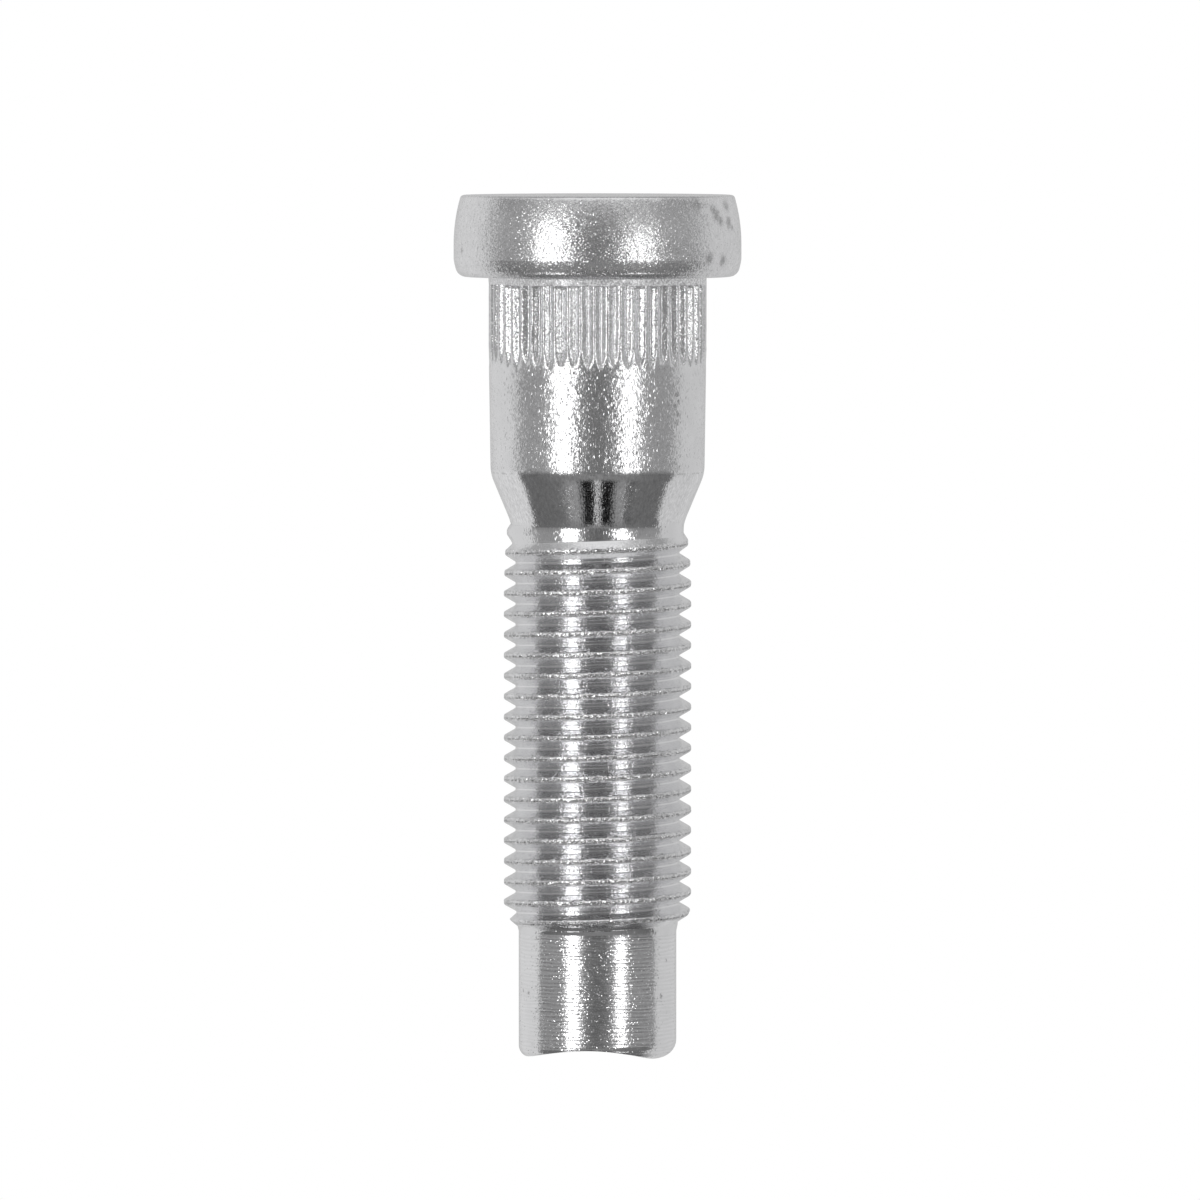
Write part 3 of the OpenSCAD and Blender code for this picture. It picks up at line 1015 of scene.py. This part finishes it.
def room_material(stage):
    """Glow of the room as the metal sees it: grey behind the camera and pale behind the stud."""
    material, maker = new_material("room")
    x, y, z = maker.parts(maker.node("ShaderNodeTexCoord", {}, {}, "Object"))
    # Angle from the camera's side, positive towards +X, and angle above the floor, in degrees
    around = maker.maths("ARCTAN2", x, 0 - y) * math.degrees(1)
    up = maker.maths("ARCTAN2", z, (x * x + y * y) ** 0.5) * math.degrees(1)
    aside = maker.maths("ABSOLUTE", around)

    # The backdrop is a little darker towards -X and straight behind the stud, and dark far below and above
    level = maker.ramp(x, -1.4, 1.4, stage.backdrop[0] * 0.88, stage.backdrop[0], "LINEAR")
    hidden = maker.ramp(aside, 150, 160) * maker.band(up, -25, 25, 6)
    level = level * (1 - hidden * 0.12)
    level = level * maker.ramp(up, -42, -28, 0.55, 1.0) * maker.ramp(up, 38, 58, 1.0, 0.15)

    # Its edges stand at each side of the stud, and lean as they rise
    lean = maker.maths("MAXIMUM", up, 0.0)
    reach = lean * 0.27 + maker.ramp(up, -3, 1.2, 5.5, 0.0)
    front = maker.ramp(around + lean * 0.08, -93.5, -91.0) * maker.ramp(around - reach, 91.5, 94.0, 1.0, 0.0)
    glow = maker.mixed(front, maker.grey(level), front_glow(maker, around, up, aside))
    emission = maker.node("ShaderNodeEmission", {}, {"Color": glow, "Strength": ROOM_STRENGTH})
    maker.node("ShaderNodeOutputMaterial", {}, {"Surface": emission})
    material.cycles.emission_sampling = "NONE"
    return material


def floor_material(stage):
    """Pale floor that keeps the stud's shadow, and that a camera below it looks through."""
    material, maker = new_material("floor")
    matt = maker.node("ShaderNodeBsdfDiffuse", {}, {"Color": (*stage.floor, 1)})
    white = maker.node("ShaderNodeEmission", {}, {"Color": (1, 1, 1, 1), "Strength": 1.0})
    pale = maker.node("ShaderNodeMixShader", {}, {0: 0.6, 1: matt, 2: white})
    clear = maker.node("ShaderNodeBsdfTransparent", {}, {"Color": (1, 1, 1, 1)})
    below = maker.node("ShaderNodeNewGeometry", {}, {}, "Backfacing")
    shader = maker.node("ShaderNodeMixShader", {}, {0: below, 1: pale, 2: clear})
    maker.node("ShaderNodeOutputMaterial", {}, {"Surface": shader})
    return material


def white_world():
    """White surroundings, a little darker for the light that falls on matt things."""
    world = bpy.data.worlds.new("white_surround")
    world.use_nodes = True
    maker = NodeMaker(world.node_tree)
    seen = maker.node("ShaderNodeLightPath", {}, {}, "Is Camera Ray")
    for kind in ("Is Glossy Ray", "Is Transmission Ray"):
        seen = maker.maths("MAXIMUM", seen, maker.node("ShaderNodeLightPath", {}, {}, kind))
    colour = maker.mixed(seen, (0.75, 0.75, 0.75, 1), (1, 1, 1, 1))
    background = maker.node("ShaderNodeBackground", {}, {"Color": colour, "Strength": 1.0})
    maker.node("ShaderNodeOutputWorld", {}, {"Surface": background})
    return world


def add_lamp(context, name, around, width, low, high, power, roll):
    """Adds a strip lamp at angles from the camera's side, in degrees, that faces the stud."""
    light = bpy.data.lights.new(name, "AREA")
    light.shape = "RECTANGLE"
    light.size = 2 * LAMP_DISTANCE * math.tan(math.radians(width) / 2)
    bottom = LAMP_DISTANCE * math.tan(math.radians(low))
    top = LAMP_DISTANCE * math.tan(math.radians(high))
    light.size_y = top - bottom
    # Power of a lamp whose surface is as bright as the number given
    light.energy = power * light.size * light.size_y * math.pi
    lamp = bpy.data.objects.new(name, light)
    turn = math.radians(around)
    lamp.location = (LAMP_DISTANCE * math.sin(turn), -LAMP_DISTANCE * math.cos(turn), (top + bottom) / 2)
    lamp.rotation_euler = (math.pi / 2, math.radians(roll), turn)
    lamp.visible_camera = False
    context.scene.collection.objects.link(lamp)


class StageOperator(Operator):
    """Makes the floor, the room, the lamps and the camera"""

    bl_idname = "wheel_stud.make_stage"
    bl_label = "Make the stage"

    def execute(self, context):
        stage = context.scene.wheel_stud.stage
        scene = context.scene

        bm = bmesh.new()
        bmesh.ops.create_circle(bm, cap_ends=True, segments=96, radius=FLOOR_RADIUS)
        floor = place_mesh("floor", bm, floor_material(stage), context)
        floor.visible_glossy = False

        bm = bmesh.new()
        bmesh.ops.create_uvsphere(bm, u_segments=96, v_segments=48, radius=ROOM_RADIUS)
        bmesh.ops.reverse_faces(bm, faces=list(bm.faces))
        room = place_mesh("room", bm, room_material(stage), context)
        room.visible_camera = False
        room.visible_diffuse = False
        room.visible_shadow = False
        room.visible_transmission = False

        for name, around, width, low, high, brightness, roll in LAMPS:
            add_lamp(context, name, around, width, low, high, stage.lamp_power * brightness, roll)
        scene.world = white_world()

        camera_data = bpy.data.cameras.new("camera")
        camera_data.lens = stage.lens
        camera_data.sensor_width = 36
        camera_data.clip_start = 0.05
        camera = bpy.data.objects.new("camera", camera_data)
        scene.collection.objects.link(camera)
        camera.location = (stage.aim_side, -stage.distance, stage.camera_height)
        # The photograph shows the stud with its head up, so the camera stands on its head
        forward = (Vector((stage.aim_side, 0, stage.aim_height)) - camera.location).normalized()
        right = forward.cross(Vector((0, 0, -1))).normalized()
        up = right.cross(forward).normalized()
        camera.rotation_mode = "QUATERNION"
        camera.rotation_quaternion = Matrix((right, up, -forward)).transposed().to_quaternion()
        scene.camera = camera

        scene.view_settings.view_transform = "Standard"
        return {"FINISHED"}


class StudPanel(Panel):
    """Sizes, finish and stage of the stud"""

    bl_idname = "VIEW3D_PT_wheel_stud"
    bl_label = "Wheel stud"
    bl_space_type = "VIEW_3D"
    bl_region_type = "UI"
    bl_category = "Wheel stud"

    def draw(self, context):
        settings = context.scene.wheel_stud
        layout = self.layout
        for name in ("head", "shank", "knurl", "thread", "tip", "finish", "stage"):
            group = getattr(settings, name)
            box = layout.box()
            box.label(text=name.capitalize())
            for key in group.__annotations__:
                box.prop(group, key)
        for button in (StudOperator, StageOperator):
            layout.operator(button.bl_idname)


CLASSES = (
    HeadSizes, ShankSizes, KnurlSizes, ThreadSizes, TipSizes, FinishValues, StageValues, StudSettings,
    StudOperator, StageOperator, StudPanel,
)


def register():
    for item in CLASSES:
        bpy.utils.register_class(item)
    bpy.types.Scene.wheel_stud = PointerProperty(type=StudSettings)


def unregister():
    del bpy.types.Scene.wheel_stud
    for item in reversed(CLASSES):
        bpy.utils.unregister_class(item)


def main():
    """Makes the stud and its stage."""
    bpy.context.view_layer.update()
    register()
    bpy.ops.wheel_stud.make_stud()
    bpy.ops.wheel_stud.make_stage()


if __name__ == "__main__":
    main()
